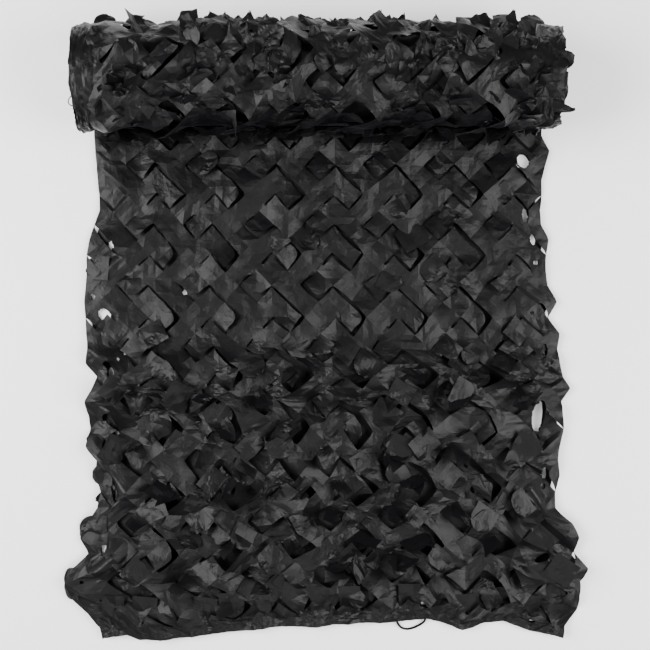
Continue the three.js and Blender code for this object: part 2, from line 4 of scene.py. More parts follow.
import bpy
import numpy as np
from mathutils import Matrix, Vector


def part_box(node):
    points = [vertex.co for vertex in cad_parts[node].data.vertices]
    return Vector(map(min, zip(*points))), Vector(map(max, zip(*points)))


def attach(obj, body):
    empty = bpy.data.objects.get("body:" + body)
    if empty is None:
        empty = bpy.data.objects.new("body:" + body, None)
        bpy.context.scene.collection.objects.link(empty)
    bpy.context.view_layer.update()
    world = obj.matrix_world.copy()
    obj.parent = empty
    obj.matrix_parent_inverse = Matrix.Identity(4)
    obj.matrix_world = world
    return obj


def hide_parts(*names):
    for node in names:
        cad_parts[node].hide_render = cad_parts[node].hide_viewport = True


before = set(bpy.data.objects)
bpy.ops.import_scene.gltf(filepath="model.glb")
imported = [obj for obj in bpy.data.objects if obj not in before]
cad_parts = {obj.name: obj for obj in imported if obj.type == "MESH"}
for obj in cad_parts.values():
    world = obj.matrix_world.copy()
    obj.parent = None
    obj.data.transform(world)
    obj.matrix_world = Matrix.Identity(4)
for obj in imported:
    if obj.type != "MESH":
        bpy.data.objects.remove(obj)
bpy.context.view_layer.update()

bl_info = {
    "name": "Camouflage net",
    "version": (1, 0, 0),
    "blender": (4, 5, 0),
    "location": "View3D > Sidebar > Net",
    "description": "Lays, cuts and winds a leaf-cut camouflage net over its solids",
    "category": "Object",
}

# The leaf cut. A grid point is named by its step along the cloth, from the roll to the hem, and its step
# across it; a leaf is the diamond below a grid point. The cut comes again every REPEAT steps both ways.
STEPS_ALONG = 36
HEM_STEP = STEPS_ALONG + 1
SIDE_STEP = 15
REPEAT = 4
STEPS_AROUND = 20
HALF_DIAGONAL = 0.0469
LEAF_SIDE = HALF_DIAGONAL * math.sqrt(2)

# The loose end on the floor, in metres and in steps from the roll.
SHEET_LOW, SHEET_HIGH = (np.array(corner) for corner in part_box("net_sheet"))
SEAM_Y = float(SHEET_HIGH[1])
HEM_EDGE_Y = float(SHEET_LOW[1])
HEM_WIDTH = 0.033
HEM_LINE_Y = HEM_EDGE_Y + HEM_WIDTH
GATHER_STEP = 20.0
GATHER_PULL = 0.014
GATHER_REACH = 3.0
LOWER_FROM = 15
LOWER_FULL = 20

# The roll, in metres.
ROLL_RADIUS = 0.148
ROLL_CENTRE = 0.1455
TURN_PITCH = 0.012
ROLL_LEFT = -0.652
ROLL_RIGHT = 0.634
LEFT_TURNS_OUT = 0.054
LEFT_DRAWN_IN = 0.24

# Reach of the loose end to the left and right of its centre line, at each step from the roll, in metres.
RIM_LEFT = np.array(
    [694, 694, 694, 694, 691, 687, 684, 680, 678, 695, 708, 716, 715, 719, 722, 719, 716, 711, 718]
    + [686, 702, 722, 706, 707, 717, 682, 688, 672, 683, 714, 736, 709, 760, 780, 759, 711, 676, 668]
) / 1000
RIM_RIGHT = np.array(
    [644, 644, 643, 641, 668, 654, 642, 643, 636, 640, 663, 655, 654, 661, 688, 660, 695, 688, 692]
    + [705, 730, 702, 703, 708, 698, 689, 694, 683, 685, 729, 746, 736, 780, 756, 747, 751, 708, 704]
) / 1000

# How far the hem is drawn up at places across it, in metres.
HEM_ACROSS = np.array(
    [-680, -592, -555, -480, -370, -244, -134, -16, 52, 200, 300, 356, 406, 466, 526, 608, 704]
) / 1000
HEM_RISE = np.array([0, 15, 0, 0, 12, 27, 39, 39, 48, 51, 60, 46, 27, 48, 54, 24, 6]) / 1000


def table(columns, *rows):
    """Rows with named columns."""
    row_type = namedtuple("Row", columns)
    return [row_type(*row) for row in rows]


# Gaps right through the cloth, most of them near its side edges: millimetres, and degrees of turn.
GAPS = table(
    "across along width height turn",
    (586, 517, 36, 42, 20),
    (592, 355, 18, 45, 8),
    (616, 283, 12, 36, 12),
    (626, 214, 14, 14, 0),
    (614, 64, 12, 9, 0),
    (590, 19, 12, 9, 0),
    (647, -50, 16, 44, -8),
    (632, -96, 16, 44, -28),
    (630, -242, 32, 98, -6),
    (648, -412, 18, 40, 8),
    (645, -452, 12, 18, 0),
    (610, -853, 18, 9, 0),
    (291, -806, 10, 9, 0),
    (-645, 268, 12, 24, -10),
    (-698, 112, 9, 18, 0),
    (-664, 58, 34, 40, 45),
    (-424, 124, 12, 18, 0),
    (-644, -119, 14, 42, 6),
    (-621, -74, 12, 12, 0),
    (-602, -58, 9, 9, 0),
    (-666, -263, 9, 10, 0),
    (-628, -296, 10, 10, 0),
    (-628, -479, 9, 39, 0),
    (-667, -644, 12, 36, -6),
    (-728, -737, 10, 9, 0),
    (-667, -790, 10, 9, 0),
)

# Leaves that stand out at the back of the roll: place across, reach past the roll and width in metres.
BACK_DEGREES = 112
BACK_LEAVES = table(
    "across reach width tip",
    (-0.622, 0.026, 0.062, "round"),
    (-0.407, 0.036, 0.046, "point"),
    (-0.287, 0.024, 0.066, "point"),
    (-0.16, 0.017, 0.06, "round"),
    (-0.048, 0.015, 0.07, "square"),
    (0.13, 0.026, 0.05, "point"),
    (0.308, 0.02, 0.044, "point"),
    (0.393, 0.017, 0.06, "square"),
    (0.502, 0.022, 0.072, "square"),
    (0.577, 0.02, 0.066, "round"),
)

# Leaves that stand out past the roll's right end: degrees round it from its bottom, reach in metres.
END_LEAVES = table(
    "degrees reach tip",
    (153, 0.012, "square"),
    (174, 0.032, "round"),
    (197, 0.016, "square"),
    (228, 0.033, "point"),
    (246, 0.014, "square"),
)

# Leaves at the left rim: place of the root, width and length in metres, degrees from the X axis.
RIM_LEAVES = table(
    "across along degrees width length tip",
    (-0.648, 0.196, 176, 0.07, 0.072, "round"),
    (-0.637, -0.318, 185, 0.078, 0.08, "round"),
    (-0.637, -0.418, 180, 0.06, 0.064, "round"),
    (-0.636, -0.482, 191, 0.064, 0.046, "point"),
    (-0.652, -0.582, 182, 0.088, 0.088, "round"),
    (-0.737, -0.742, 180, 0.096, 0.05, "round"),
)

# The row of leaves along the hem: place of the first, and distance from leaf to leaf.
HEM_LEAF_FIRST = -0.633
HEM_LEAF_PITCH = 0.088

# Routes of the two tie cords, in metres.
HEM_TIE = (
    (0.2070, -0.8400, 0.0095),
    (0.2090, -0.8500, 0.0092),
    (0.2125, -0.8630, 0.0070),
    (0.2190, -0.8735, 0.0043),
    (0.2290, -0.8805, 0.0037),
    (0.2430, -0.8825, 0.0037),
    (0.2570, -0.8795, 0.0037),
    (0.2710, -0.8740, 0.0037),
    (0.2840, -0.8665, 0.0045),
    (0.2925, -0.8580, 0.0070),
    (0.2970, -0.8470, 0.0092),
    (0.3010, -0.8360, 0.0095),
)
END_TIE = (
    (-0.6922, 0.6700, 0.2060),
    (-0.7000, 0.6690, 0.2064),
    (-0.7100, 0.6640, 0.2060),
    (-0.7170, 0.6560, 0.2040),
    (-0.7190, 0.6480, 0.2015),
    (-0.7140, 0.6410, 0.1988),
    (-0.7042, 0.6376, 0.1970),
)
CORD_STEPS = 8

# For a grid point of the repeat: which leaves round it (N, E, S, W of it) stand on the slit's raised side,
# and by how much, in metres.
SLIT_POINTS = {
    (1, 3): ("E", 0.001),
    (2, 0): ("N", 0.001),
    (1, 1): ("WNE", 0.008),
    (2, 2): ("NE", 0.006),
    (3, 3): ("NES", 0.007),
    (0, 2): ("EWS", 0.006),
    (3, 1): ("S", 0.008),
}
# The slit runs along these leaf edges, which go down-right and down-left from the grid points named. An
# edge at an uncut point stays whole over a share of its length there.
CUT_DOWN_RIGHT = ((1, 3), (1, 1), (2, 2), (3, 1))
CUT_DOWN_LEFT = ((0, 0), (1, 1), (3, 3), (3, 1))
BRIDGE = 0.35
# Share of these edges that are cut beside the rim.
CUT_BY_RIM = 0.35
# How far a cut edge is drawn in, as a share of a leaf, so that a slit shows.
TRIM = 0.035

SIDES = "NESW"
SIDE_WAYS = np.array([[0, 1], [1, 0], [0, -1], [-1, 0]])
# A leaf's corners: where each lies from its upper grid point, and how the leaf lies as seen from there.
CORNERS = {"N": (0, 0, "S"), "E": (1, 1, "W"), "S": (2, 0, "N"), "W": (1, -1, "E")}
TIPS = ("square", "round", "point")

# A tongue: power of its rise, its twist, its bend to a side, and skew of the lifts to low ones.
RISE_POWER = 1.25
TWIST = 1.1
SIDE_BEND = 0.6
LIFT_SKEW = 1.4

# The loose end: each value near the roll, and what its lower half adds to it.
Zone = namedtuple("Zone", "upper added")
SLIT_OPENING = Zone(0.007, 0.008)
STRAY = Zone(0.003, 0.008)
UNEVEN = Zone(0.010, 0.015)
STEP_SHARE = Zone(1.25, 1.75)
CREASE = Zone(0.0048, 0.0014)
SWING = Zone(0.25, 0.9)
ROUND_SHARE = Zone(0.62, -0.25)
BAND_UNEVEN = 0.006
BAND_CREASE = 0.0024
BAND_WIDTH = 1.6
LAID_HEIGHT = 0.0085
PLEAT = 0.004

# The same for the roll's outer turn, with its opening and stray in steps.
ROLL_LIFT = Zone(0.012, 0.028)
ROLL_STEP_SHARE = 1.9
ROLL_UNEVEN = 0.016
ROLL_CREASE = 0.0085
ROLL_OPENING = 0.24
ROLL_STRAY = 0.16
ROLL_SWING = 0.8
LUMP = 0.005

# Sizes of the folds in crumpled cloth, in metres, and their heights as shares of the largest.
CRUMPLE = ((0.042, 1.0), (0.023, 0.42), (0.012, 0.15))
# Folds of a leaf: parts that its side is divided into, and heights as shares of the crease height.
LEAF_FOLDS = ((1, 1.3), (2, 0.6), (3, 0.25), (6, 0.08))
# A fold sharper than this is a crease.
CREASE_ANGLE = math.radians(7)

RELAX_ROUNDS = 3
RELAX_SHARE = 1.6
JOIN_ROUNDS = 64
TINY = 1e-9


def chance(a, b, series):
    """A fixed number from 0 to 1: the fraction of 43758.5453 sin(12.9898a + 78.233b + 37.719 series). Each
    use has its own series."""
    wave = np.sin(a * 12.9898 + b * 78.233 + series * 37.719) * 43758.5453
    return wave - np.floor(wave)


def smoothstep(low, high, value):
    """t²(3 - 2t), with t running from 0 at low to 1 at high."""
    t = np.clip((value - low) / (high - low), 0.0, 1.0)
    return t * t * (3.0 - 2.0 * t)


def at(zone, share):
    """The first value, plus the share of what is added to it."""
    return zone.upper + zone.added * share


def patches(p, q, series, ease=lambda t: t):
    """Numbers from -1 to 1 at whole coordinates, joined bilinearly. The place in a square may be eased."""
    i, j = np.floor(p), np.floor(q)
    u, v = ease(p - i), ease(q - j)
    near = chance(i, j, series) * (1 - u) + chance(i + 1, j, series) * u
    far = chance(i, j + 1, series) * (1 - u) + chance(i + 1, j + 1, series) * u
    return 2.0 * (near * (1 - v) + far * v) - 1.0


def folds(p, q, series):
    """Numbers from -1 to 1 at whole coordinates, joined by flat triangles. Each square is folded along one of
    its diagonals, picked by chance."""
    i, j = np.floor(p), np.floor(q)
    u, v = p - i, q - j
    near, right = chance(i, j, series), chance(i + 1, j, series)
    up, far = chance(i, j + 1, series), chance(i + 1, j + 1, series)
    below = near * (1 - u) + right * (u - v) + far * v
    above = near * (1 - v) + up * (v - u) + far * u
    one = np.where(u >= v, below, above)
    by_near = near * (1 - u - v) + right * u + up * v
    by_far = far * (u + v - 1) + right * (1 - v) + up * (1 - u)
    two = np.where(u + v <= 1, by_near, by_far)
    return 2.0 * np.where(chance(i, j, series + 0.5) < 0.5, one, two) - 1.0


def crumpled(x, y, series):
    """Height of crumpled cloth, in shares of its largest folds: the sum of folds of each size in CRUMPLE,
    each turned by 0.9 radians more than the last and shifted by slow noise."""
    total = np.zeros_like(x)
    for k, (size, height) in enumerate(CRUMPLE):
        turn = 0.35 + 0.9 * k + 0.5 * series
        p = (x * math.cos(turn) + y * math.sin(turn)) / size + 1.7 * series
        q = (y * math.cos(turn) - x * math.sin(turn)) / (1.35 * size) + 2.9 * k
        slow = 0.45 * patches(0.7 * p, 0.7 * q, series + 40, lambda t: smoothstep(0.0, 1.0, t))
        total += height * folds(p + slow, q - slow, series + k)
    return total


def in_repeat(s, d, *spots):
    """Whether a grid point is at one of the spots of the repeat."""
    return np.any([(s % REPEAT == i) & (d % REPEAT == j) for i, j in spots], axis=0)


class LeafCloth:
    """The leaf-cut cloth between two steps, as a triangle grid in the cloth's own steps along and across.

    A leaf with its upper point at (s, d) has the points (s + a + b, d + a - b), with a and b from 0 to 1.
    Two leaves share the points of the edge between them, unless it is cut."""

    def __init__(self, first, last, faces):
        s, d = np.meshgrid(np.arange(first - 1, last), np.arange(-SIDE_STEP, SIDE_STEP + 1), indexing="ij")
        even = (s + d) % 2 == 0
        self.s, self.d = s[even], d[even]
        self.leaves = len(self.s)
        self.first, self.last, self.faces = first, last, faces
        self.uncut_from = min(last, STEPS_ALONG)
        line = np.linspace(0.0, 1.0, faces + 1)
        shape = (self.leaves, faces + 1, faces + 1)
        self.a = np.broadcast_to(line[:, None], shape)
        self.b = np.broadcast_to(line[None, :], shape)
        self.along = self.s[:, None, None] + self.a + self.b
        self.across = self.d[:, None, None] + self.a - self.b
        self._corners()
        self._join()
        self._triangles()

    def _on_rim(self, s, d):
        return (s <= self.first) | (s >= self.uncut_from) | (np.abs(d) >= SIDE_STEP)

    def _corners(self):
        """Per leaf and corner: the step there, the way in which it is drawn off the slit, how it strays, and
        its share of unevenness. Corners on the slit's raised side are drawn one way, the others back."""
        raised = np.zeros((REPEAT, REPEAT, len(SIDES)), bool)
        step = np.zeros((REPEAT, REPEAT))
        way = np.zeros((REPEAT, REPEAT, 2))
        for (i, j), (sides, height) in SLIT_POINTS.items():
            raised[i, j] = [side in sides for side in SIDES]
            step[i, j] = height
            total = SIDE_WAYS[raised[i, j]].sum(axis=0)
            way[i, j] = total / max(TINY, np.hypot(*total))
        self.corner = {}
        for name, (ds, dd, leaf_lies) in CORNERS.items():
            s, d = self.s + ds, self.d + dd
            spot = (s % REPEAT, d % REPEAT)
            whole = self._on_rim(s, d) | in_repeat(s, d, (0, 0))
            up = raised[spot][:, SIDES.index(leaf_lies)] & ~whole
            size = step[spot] * (0.8 + 0.9 * chance(s, d, 1))
            sign = np.where(whole, 0.0, np.where(up, 1.0, -1.0))
            drawn = sign * (1.25 * chance(s, d, 9) - 0.2)
            inner = (s > self.first) & (s < self.uncut_from) & (np.abs(d) < SIDE_STEP)
            wander = np.stack([chance(s, d, 15), chance(s, d, 16)], axis=-1) - 0.5
            self.corner[name] = {
                "step": np.where(up, size, 0.0),
                "way": way[spot] * drawn[:, None],
                "wander": 2.0 * wander * inner[:, None],
                "uneven": chance(s, d, 33),
            }

    def over_leaf(self, key):
        """Corner values spread over each leaf: N(1-a)(1-b) + E a(1-b) + W(1-a)b + S ab."""
        a, b = self.a, self.b
        weights = {"N": (1 - a) * (1 - b), "E": a * (1 - b), "W": (1 - a) * b, "S": a * b}
        total = 0.0
        for name, weight in weights.items():
            value = self.corner[name][key]
            shape = (self.leaves, 1, 1) + value.shape[1:]
            grown = weight if value.ndim == 1 else weight[..., None]
            total = total + grown * value.reshape(shape)
        return total

    def creases(self, series):
        """Height of the folds along the leaves' lines, as a share of the crease height: the sum over
        LEAF_FOLDS of a leaf's side divided into that many parts, whole leaves as patches and the rest as
        folds. A point on a leaf's far edge is counted just inside it."""
        inward_p = 1e-6 * (1 - 2.0 * (self.a == 1))
        inward_q = 1e-6 * (1 - 2.0 * (self.b == 1))
        total = 0.0
        for parts, height in LEAF_FOLDS:
            p = 0.5 * parts * (self.along + self.across)
            q = 0.5 * parts * (self.along - self.across)
            form = patches if parts < 2 else folds
            total = total + height * form(p + inward_p, q + inward_q, series + parts)
        return total

    def _join(self):
        """Number the points so that leaves share those of an uncut edge, and note each leaf's cut sides."""
        n = self.faces
        count = n + 1
        look = -np.ones((self.last - self.first + 3, 2 * SIDE_STEP + 5), int)
        look[self.s - self.first + 2, self.d + SIDE_STEP + 2] = np.arange(self.leaves)
        number = np.arange(self.leaves * count * count).reshape(self.leaves, count, count)
        place = np.arange(count)[None, :]
        pairs = []
        self.cut = {side: np.zeros(self.leaves) for side in ("a0", "a1", "b0", "b1")}
        for way, cut in ((1, CUT_DOWN_RIGHT), (-1, CUT_DOWN_LEFT)):
            other = look[self.s - self.first + 1, self.d + SIDE_STEP + 2 + way]
            here = np.nonzero(other >= 0)[0]
            there = other[here]
            mine = number[here, :, 0] if way > 0 else number[here, 0, :]
            theirs = number[there, :, n] if way > 0 else number[there, n, :]
            s, d = self.s[here], self.d[here]
            is_cut = in_repeat(s, d, *cut) & (s < self.uncut_from)
            beside_rim = np.maximum(np.abs(d), np.abs(d + way)) >= SIDE_STEP - 1
            is_cut &= ~beside_rim | (chance(s, d, 41) < CUT_BY_RIM)
            self.cut["b0" if way > 0 else "a0"][here] = is_cut
            self.cut["b1" if way > 0 else "a1"][there] = is_cut
            joined = np.broadcast_to(~is_cut[:, None], mine.shape).copy()
            joined |= self._on_rim(s, d)[:, None] & (place == 0)
            joined |= self._on_rim(s + 1, d + way)[:, None] & (place == n)
            if way < 0:
                joined |= in_repeat(s, d, (0, 0))[:, None] & (place <= BRIDGE * n)
                joined |= in_repeat(s, d, (3, 1))[:, None] & (place >= (1 - BRIDGE) * n)
            pairs.append(np.stack([mine[joined], theirs[joined]]))
        i, j = np.concatenate(pairs, axis=1)
        label = number.ravel().copy()
        for _ in range(JOIN_ROUNDS):
            before = label.copy()
            np.minimum.at(label, i, label[j])
            np.minimum.at(label, j, label[i])
            label = label[label]
            if (label == before).all():
                break
        else:
            raise RuntimeError("the leaves were not joined")
        kept, index = np.unique(label, return_inverse=True)
        self.index = index.reshape(number.shape)
        self.points = len(kept)

    def trimmed(self):
        """Changes of a and b that draw each cut side of a leaf in, least at its ends."""
        cut = {side: is_cut[:, None, None] for side, is_cut in self.cut.items()}
        ends_a = smoothstep(0, 0.25, self.a) * smoothstep(0, 0.25, 1 - self.a)
        ends_b = smoothstep(0, 0.25, self.b) * smoothstep(0, 0.25, 1 - self.b)
        change_a = TRIM * ends_b * (cut["a0"] * (1 - self.a) ** 4 - cut["a1"] * self.a**4)
        change_b = TRIM * ends_a * (cut["b0"] * (1 - self.b) ** 4 - cut["b1"] * self.b**4)
        return change_a, change_b

    def _triangles(self):
        """Two triangles to each square of a leaf. The diagonal turns from square to square, but along the
        cloth's outline it follows it, and only the half inside is kept."""
        n = self.faces
        v00, v10 = self.index[:, :-1, :-1], self.index[:, 1:, :-1]
        v01, v11 = self.index[:, :-1, 1:], self.index[:, 1:, 1:]
        i, j = np.meshgrid(np.arange(n), np.arange(n), indexing="ij")
        straight = np.broadcast_to((i + j) % 2 == 0, v00.shape).copy()
        straight[np.abs(self.d) == SIDE_STEP] = True
        straight[(self.s == self.first - 1) | (self.s == self.last - 1)] = False
        one = v00, v01, np.where(straight, v11, v10)
        two = np.where(straight, [v00, v11, v10], [v10, v01, v11])
        triangles = np.concatenate([np.stack([*half], -1).reshape(-1, 3) for half in (one, two)])
        middle_s = self.mean(self.along)[triangles].mean(axis=1)
        middle_d = self.mean(self.across)[triangles].mean(axis=1)
        inside = (middle_s > self.first) & (middle_s < self.last) & (np.abs(middle_d) < SIDE_STEP)
        self.triangles = triangles[inside]

    def mean(self, values):
        """One value per joined point: the mean over the leaves that meet there."""
        flat_index = self.index.ravel()
        counts = np.bincount(flat_index, minlength=self.points)
        columns = values.reshape(len(flat_index), -1)
        sums = [np.bincount(flat_index, weights=column, minlength=self.points) for column in columns.T]
        out = np.stack(sums, axis=1) / counts[:, None]
        return out[:, 0] if values.ndim == 3 else out

    def tongues(self):
        """Per leaf: 0 for a leaf that isn't a tongue, -1 for one that points down-left, 1 for down-right."""
        left = in_repeat(self.s, self.d, (0, 0))
        right = in_repeat(self.s, self.d, (2, 2))
        clear = (self.s > self.first) & (self.s + 2 <= self.uncut_from) & (np.abs(self.d) < SIDE_STEP - 1)
        return np.where(left & clear, -1, np.where(right & clear, 1, 0))


def cut_leaves(cloth, lift, round_share, swing):
    """The cut cloth's tongues: their rise, the steps of its points along and across in the flat cloth, and
    the steps to which the rising tongues draw them.

    With t from 0 at the root to 1 at the tip and c across it, the rise is lift t^1.25 (1 + twist (2c - 1)),
    and it takes up t (lift / leaf)² / 2 of a leaf. The corner's square is pressed into a quarter disc."""
    kind = cloth.tongues()[:, None, None]
    on, down_left = kind != 0, kind < 0
    t = np.where(down_left, cloth.b, cloth.a)
    c = np.where(down_left, 1 - cloth.a, cloth.b)
    twist = TWIST * (chance(cloth.s, cloth.d, 7) - 0.5)[:, None, None]
    lift = lift[:, None, None]
    rise = lift * t**RISE_POWER * (1 + twist * (2 * c - 1))
    corner = round_share[:, None, None]
    u = np.clip((1 - c - (1 - corner)) / np.maximum(corner, 1e-6), 0, 1)
    v = np.clip((t - (1 - corner)) / np.maximum(corner, 1e-6), 0, 1)
    slide_c = -corner * u * (np.sqrt(1 - v * v / 2) - 1)
    slide_t = corner * v * (np.sqrt(1 - u * u / 2) - 1)
    taken = -0.5 * t * (lift / LEAF_SIDE) ** 2
    turn = (swing * (chance(cloth.s, cloth.d, 12) - 0.5))[:, None, None]
    slide_c = slide_c + SIDE_BEND * turn * t * t
    slide_t = slide_t - turn * t * (c - 0.5)
    round_a = np.where(on, np.where(down_left, -slide_c, slide_t), 0.0)
    round_b = np.where(on, np.where(down_left, slide_t, slide_c), 0.0)
    taken_a = np.where(on & ~down_left, taken, 0.0)
    taken_b = np.where(on & down_left, taken, 0.0)
    trim_a, trim_b = cloth.trimmed()
    along = cloth.along + round_a + round_b + trim_a + trim_b
    across = cloth.across + round_a - round_b + trim_a - trim_b
    return np.where(on, rise, 0.0), (along, across), (along + taken_a + taken_b, across + taken_a - taken_b)


def rim_reach(steps, reach, across):
    """Reach of a side at each place: even over five steps in the cloth, with its ragged points at the rim."""
    padded = np.pad(reach, 2, mode="edge")
    even = np.convolve(padded, np.ones(5) / 5, mode="valid")
    k = np.arange(len(reach))
    share = smoothstep(SIDE_STEP - 2.0, SIDE_STEP, np.abs(across))
    return np.interp(steps, k, even) * (1 - share) + np.interp(steps, k, reach) * share


def loose_place(along, across):
    """Where a point of the loose end lies on the floor, x and y, from its steps along and across. The gather
    pulls the cloth to its middle by t exp(½ - t²/2), with t the distance from it in reaches."""
    left = rim_reach(along, RIM_LEFT, across)
    right = rim_reach(along, RIM_RIGHT, across)
    x = -left + (left + right) * (across + SIDE_STEP) / (2 * SIDE_STEP)
    t = (along - GATHER_STEP) / GATHER_REACH
    pull = GATHER_PULL * t * np.exp(0.5 - 0.5 * t * t)
    rise = np.interp(x, HEM_ACROSS, HEM_RISE) * smoothstep(22, STEPS_ALONG, along)
    y = np.interp(along, [0, STEPS_ALONG, HEM_STEP], [SEAM_Y, HEM_LINE_Y, HEM_EDGE_Y])
    return x, y + pull + rise


def open_gaps(points, triangles):
    """Drop the faces whose middles lie in a gap's ellipse, and push the points inside it out to its edge."""
    middles = points[triangles].mean(axis=1)
    points = points.copy()
    keep = np.ones(len(triangles), bool)
    for gap in GAPS:
        c, s = math.cos(math.radians(gap.turn)), math.sin(math.radians(gap.turn))
        centre = np.array([gap.across, gap.along]) / 1000
        sizes = np.array([gap.width, gap.height]) / 1000 / 2
        rotate = np.array([[c, -s], [s, c]])
        keep &= np.hypot(*(((middles[:, :2] - centre) @ rotate) / sizes).T) > 1.0
        inside = ((points[:, :2] - centre) @ rotate) / sizes
        far = np.hypot(*inside.T)
        near = far < 1.0
        edge = inside[near] / np.maximum(far[near], 1e-3)[:, None]
        points[near, :2] = (edge * sizes) @ rotate.T + centre
    return points, triangles[keep]


def added(name, data):
    """A new object with that data, put in the scene."""
    obj = bpy.data.objects.new(name, data)
    bpy.context.collection.objects.link(obj)
    return obj


def mesh_object(name, points, triangles, flat):
    """An object from the points that its triangles use, smooth but for its creases. A UV layer holds each
    point's place in the flat cloth, in metres."""
    used = np.unique(triangles)
    renumber = -np.ones(len(points), int)
    renumber[used] = np.arange(len(used))
    points, triangles, flat = points[used], renumber[triangles], flat[used]
    mesh = bpy.data.meshes.new(name)
    mesh.vertices.add(len(points))
    mesh.vertices.foreach_set("co", points.astype(np.float32).ravel())
    mesh.loops.add(triangles.size)
    mesh.loops.foreach_set("vertex_index", triangles.astype(np.int32).ravel())
    mesh.polygons.add(len(triangles))
    mesh.polygons.foreach_set("loop_start", np.arange(0, triangles.size, 3, dtype=np.int32))
    mesh.update(calc_edges=True)
    layer = mesh.uv_layers.new(name="cloth")
    layer.data.foreach_set("uv", (flat[triangles.ravel()] * HALF_DIAGONAL).astype(np.float32).ravel())
    mesh.polygons.foreach_set("use_smooth", np.ones(len(triangles), bool))
    mesh.validate()
    mesh.set_sharp_from_angle(angle=CREASE_ANGLE)
    mesh.materials.append(cloth_material())
    return added(name, mesh)


def wrapped(points):
    """Flat places for cloth on the roll, in steps: x, and y + z, which runs on round it."""
    return np.column_stack([points[:, 0], points[:, 1] + points[:, 2]]) / HALF_DIAGONAL


def settled(cloth, place, flat_steps, hold, floor):
    """A cloth's joined points, and their places in the flat cloth in steps, when it has settled: its edges
    are drawn towards their flat length.

    Each round moves an edge's ends by half of what it is too long or short, times 1.6 over the number of
    edges there, then each point back to its first place by the share hold, and up to the floor height."""
    start = cloth.mean(np.stack(place, axis=-1))
    flat = cloth.mean(np.stack([flat_steps[1], -flat_steps[0]], axis=-1))
    count = len(start)
    edges = np.sort(cloth.triangles[:, [0, 1, 1, 2, 2, 0]].reshape(-1, 2), axis=1)
    keys = np.unique(edges[:, 0].astype(np.int64) * count + edges[:, 1])
    i, j = keys // count, keys % count
    rest = flat * HALF_DIAGONAL
    want = np.linalg.norm(rest[i] - rest[j], axis=1)
    ends = np.concatenate([i, j])
    share = 1.0 / np.maximum(1, np.bincount(ends, minlength=count))
    moved = start.copy()
    for _ in range(RELAX_ROUNDS):
        step = moved[j] - moved[i]
        size = np.maximum(TINY, np.linalg.norm(step, axis=1))
        fix = step * (0.5 * (size - want) / size)[:, None]
        both = np.concatenate([fix, -fix])
        for k in range(3):
            pulled = np.bincount(ends, weights=both[:, k], minlength=count)
            moved[:, k] += RELAX_SHARE * share * pulled
        moved += hold * (start - moved)
        moved[:, 2] = np.maximum(moved[:, 2], floor)
    return moved, flat


def loose_end(faces):
    """The upper layer of the loose end, and the leaves that lie free on it.

    The height is that of lying cloth, plus the unevenness and the slits' steps, which come up over the first
    four steps from the roll, plus the tongues' rise, the creases and the hem's pleats."""
    cloth = LeafCloth(0, HEM_STEP, faces)
    lower = smoothstep(LOWER_FROM, LOWER_FULL + 1, cloth.s)
    lift = 0.3 + 0.22 * smoothstep(3, 7, cloth.s) + 0.9 * lower
    lift = lift * (0.017 + 0.029 * chance(cloth.s, cloth.d, 2) ** LIFT_SKEW)
    rounded = np.where(chance(cloth.s, cloth.d, 3) < at(ROUND_SHARE, lower), 0.5, 0.10)
    rise, flat_steps, steps = cut_leaves(cloth, lift, rounded, at(SWING, lower))
    along, across = flat_steps
    x, y = loose_place(*steps)
    below = smoothstep(LOWER_FROM, LOWER_FULL, along)
    way, wander = cloth.over_leaf("way"), cloth.over_leaf("wander")
    opening, stray = at(SLIT_OPENING, below), at(STRAY, below)
    x = x + opening * way[..., 0] + stray * wander[..., 0]
    y = y + opening * way[..., 1] + stray * wander[..., 1]
    band = np.exp(-(((along - GATHER_STEP + 0.5) / BAND_WIDTH) ** 2))
    facet = (at(UNEVEN, below) + BAND_UNEVEN * band) * cloth.over_leaf("uneven")
    step = at(STEP_SHARE, below) * cloth.over_leaf("step")
    height = LAID_HEIGHT + smoothstep(0, 4, along) * (facet + step) + rise
    height = height + (at(CREASE, below) + BAND_CREASE * band) * cloth.creases(51)
    pleats = smoothstep(STEPS_ALONG - 1.2, STEPS_ALONG, along)
    height = height + PLEAT * pleats * folds(3.2 * across + 0.8 * along, 0.8 * along, 14)
    points, flat = settled(cloth, (x, y, height), flat_steps, 0.10, 0.0030)
    leaves = laid_leaves(cloth, points)
    points, triangles = open_gaps(points, cloth.triangles)
    return mesh_object("laid_net", points, triangles, flat), leaves


def lower_layer(faces):
    """The layer under it, which shows in the slits: the same outline drawn in by 15 mm, uncut and low."""
    along, across = np.meshgrid(
        np.linspace(0.2, HEM_STEP - 0.3, STEPS_ALONG * faces // 2 + 1),
        np.linspace(-SIDE_STEP, SIDE_STEP, SIDE_STEP * faces + 1),
        indexing="ij",
    )
    x, y = loose_place(along, across)
    x = x - 0.015 * np.sign(across) * smoothstep(SIDE_STEP - 2.0, SIDE_STEP, np.abs(across))
    z = np.maximum(0.002 + 0.0012 * crumpled(x, y, 8), 0.0004)
    points = np.stack([x, y, z], axis=-1).reshape(-1, 3)
    points, triangles = open_gaps(points, grid_triangles(1, *along.shape))
    flat = np.column_stack([across.ravel(), -along.ravel()])
    return mesh_object("laid_net_lower_layer", points, triangles, flat)


def end_of_roll(side, angle, turn):
    """Where the edge of a turn stands at one end of the roll: x, from the angle and the number of turns in.
    At the left end the inner turns stand out, less so at the top."""
    wave = np.sin(2 * angle + 3.4 * turn + side) + 0.6 * np.sin(5 * angle - 2 * turn)
    if side < 0:
        top = 0.5 - 0.5 * np.cos(angle)
        out = LEFT_TURNS_OUT * smoothstep(0, 1.1, turn) * (1 - LEFT_DRAWN_IN * top**2)
        return ROLL_LEFT - out - 0.003 * wave
    return ROLL_RIGHT + 0.017 * wave * (1 - np.clip(turn / 9, 0, 1))


